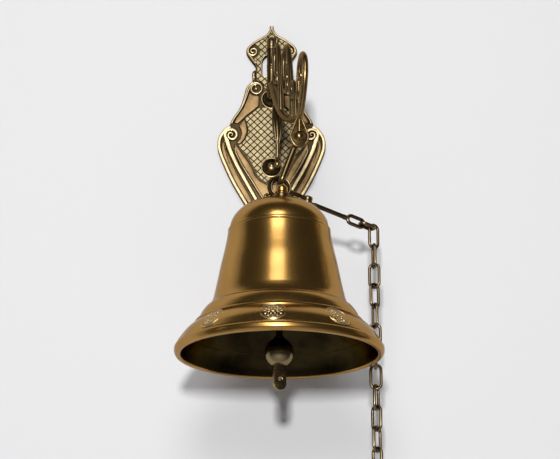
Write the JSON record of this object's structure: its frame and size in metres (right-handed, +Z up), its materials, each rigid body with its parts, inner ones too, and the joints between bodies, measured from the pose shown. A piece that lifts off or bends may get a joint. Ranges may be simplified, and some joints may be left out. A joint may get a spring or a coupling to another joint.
{
  "type": "wall-mounted pull bell",
  "caption": "Brass wall bell: a cast back plate carries a swinging scroll bracket with a hook, a flared bell with a clapper, and a side lever with a hanging pull chain.",
  "frame": {"origin": "middle of the plate's flat back, on the wall", "axes": "+X to the right seen from the room, +Y into the wall, +Z up"},
  "size_m": [0.1608, 0.1741, 0.4315],
  "materials": {
    "cast_brass": "satin antique brass",
    "aged_brass": "antique brass, darkened in the recesses",
    "polished_brass": "rubbed bright",
    "pin_brass": "turned, plain",
    "chain_brass": "drawn wire, aged"
  },
  "bodies": {
    "wall": {"wall_plate": "cast_brass", "upper_hinge_lug": "aged_brass", "lower_hinge_lug": "aged_brass", "lower_boss": "aged_brass", "hinge_pin": "pin_brass"},
    "bracket": {"bracket_post": "aged_brass", "main_arm": "cast_brass", "tail_scroll": "aged_brass", "drop_finial": "cast_brass", "rear_scroll": "aged_brass", "middle_scroll": "cast_brass", "bud_scroll": "aged_brass", "front_scroll": "polished_brass", "crest_leaf": "aged_brass", "palm": "cast_brass", "palm_rivet": "polished_brass", "rivet_washer": "aged_brass"},
    "hanger": {"hanging_hook": "cast_brass"},
    "bell": {"bell_shell": "cast_brass", "yoke": "cast_brass", "cap_nuts": "polished_brass", "yoke_studs": "pin_brass", "clapper_clevis": "aged_brass", "clapper_pin": "pin_brass", "lever_rod": "cast_brass", "lever_rivet": "polished_brass", "lever_inner_loop": "cast_brass", "lever_outer_loop": "cast_brass"},
    "clapper": {"clapper_shank": "aged_brass", "clapper_ball": "cast_brass", "clapper_tongue": "aged_brass"},
    "link_01": {"chain_link_01": "chain_brass"},
    "link_02": {"chain_link_02": "chain_brass"},
    "link_03": {"chain_link_03": "chain_brass"},
    "link_04": {"chain_link_04": "chain_brass"},
    "link_05": {"chain_link_05": "chain_brass"},
    "link_06": {"chain_link_06": "chain_brass"},
    "link_07": {"chain_link_07": "chain_brass"},
    "link_08": {"chain_link_08": "chain_brass"},
    "link_09": {"chain_link_09": "chain_brass"},
    "link_10": {"chain_link_10": "chain_brass"},
    "link_11": {"chain_link_11": "chain_brass"},
    "link_12": {"chain_link_12": "chain_brass"},
    "link_13": {"chain_link_13": "chain_brass"},
    "link_14": {"chain_link_14": "chain_brass"},
    "pull_ring": {"pull_ring": "cast_brass"}
  },
  "joints": [
    {"name": "bracket_swing", "type": "hinge", "parent": "wall", "child": "bracket", "pos_m": [0, -0.014, 0.047], "axis": [0, 0, 1], "range_deg": [-43, 17]},
    {"name": "hanger_lean", "type": "hinge", "parent": "bracket", "child": "hanger", "pos_m": [0.02, -0.10062, -0.045], "axis": [0.225, -0.9744, 0], "range_deg": [-9, 25]},
    {"name": "bell_swing", "type": "hinge", "parent": "hanger", "child": "bell", "pos_m": [0.00626, -0.09897, -0.08028], "axis": [-0.225, 0.9744, 0], "range_deg": [-25, 25]},
    {"name": "clapper_swing", "type": "hinge", "parent": "bell", "child": "clapper", "pos_m": [0.00626, -0.09897, -0.10648], "axis": [-0.225, 0.9744, 0], "range_deg": [-28, 28]},
    {"name": "link_01_swing", "type": "hinge", "parent": "bell", "child": "link_01", "pos_m": [0.07702, -0.05812, -0.09837], "axis": [0.866, 0.5, 0], "range_deg": [-10, 10]},
    {"name": "link_02_swing", "type": "hinge", "parent": "link_01", "child": "link_02", "pos_m": [0.07702, -0.05812, -0.11377], "axis": [0.1736, -0.9848, 0], "range_deg": [0, 10]},
    {"name": "link_03_swing", "type": "hinge", "parent": "link_02", "child": "link_03", "pos_m": [0.07702, -0.05812, -0.12917], "axis": [0.9397, -0.342, 0], "range_deg": [0, 10]},
    {"name": "link_04_swing", "type": "hinge", "parent": "link_03", "child": "link_04", "pos_m": [0.07702, -0.05812, -0.14457], "axis": [-0.766, -0.6428, 0], "range_deg": [-2, 10]},
    {"name": "link_05_swing", "type": "hinge", "parent": "link_04", "child": "link_05", "pos_m": [0.07702, -0.05812, -0.15997], "axis": [0.342, -0.9397, 0], "range_deg": [0, 10]},
    {"name": "link_06_swing", "type": "hinge", "parent": "link_05", "child": "link_06", "pos_m": [0.07702, -0.05812, -0.17537], "axis": [0.9962, 0.0872, 0], "range_deg": [0, 10]},
    {"name": "link_07_swing", "type": "hinge", "parent": "link_06", "child": "link_07", "pos_m": [0.07702, -0.05812, -0.19077], "axis": [0, -1, 0], "range_deg": [0, 10]},
    {"name": "link_08_swing", "type": "hinge", "parent": "link_07", "child": "link_08", "pos_m": [0.07702, -0.05812, -0.20617], "axis": [1, 0, 0], "range_deg": [0, 10]},
    {"name": "link_09_swing", "type": "hinge", "parent": "link_08", "child": "link_09", "pos_m": [0.07702, -0.05812, -0.22157], "axis": [0.4226, 0.9063, 0], "range_deg": [-8, 8]},
    {"name": "link_10_swing", "type": "hinge", "parent": "link_09", "child": "link_10", "pos_m": [0.07702, -0.05812, -0.23697], "axis": [-0.766, 0.6428, 0], "range_deg": [-8, 8]},
    {"name": "link_11_swing", "type": "hinge", "parent": "link_10", "child": "link_11", "pos_m": [0.07702, -0.05812, -0.25237], "axis": [0.6428, 0.766, 0], "range_deg": [-8, 8]},
    {"name": "link_12_swing", "type": "hinge", "parent": "link_11", "child": "link_12", "pos_m": [0.07702, -0.05812, -0.26777], "axis": [-0.766, 0.6428, 0], "range_deg": [-8, 8]},
    {"name": "link_13_swing", "type": "hinge", "parent": "link_12", "child": "link_13", "pos_m": [0.07702, -0.05812, -0.28317], "axis": [-0.9063, -0.4226, 0], "range_deg": [-8, 8]},
    {"name": "link_14_swing", "type": "hinge", "parent": "link_13", "child": "link_14", "pos_m": [0.07702, -0.05812, -0.29857], "axis": [0, 1, 0], "range_deg": [-8, 8]},
    {"name": "pull_ring_swing", "type": "hinge", "parent": "link_14", "child": "pull_ring", "pos_m": [0.07702, -0.05812, -0.31382], "axis": [-1, 0, 0], "range_deg": [-8, 8]}
  ]
}
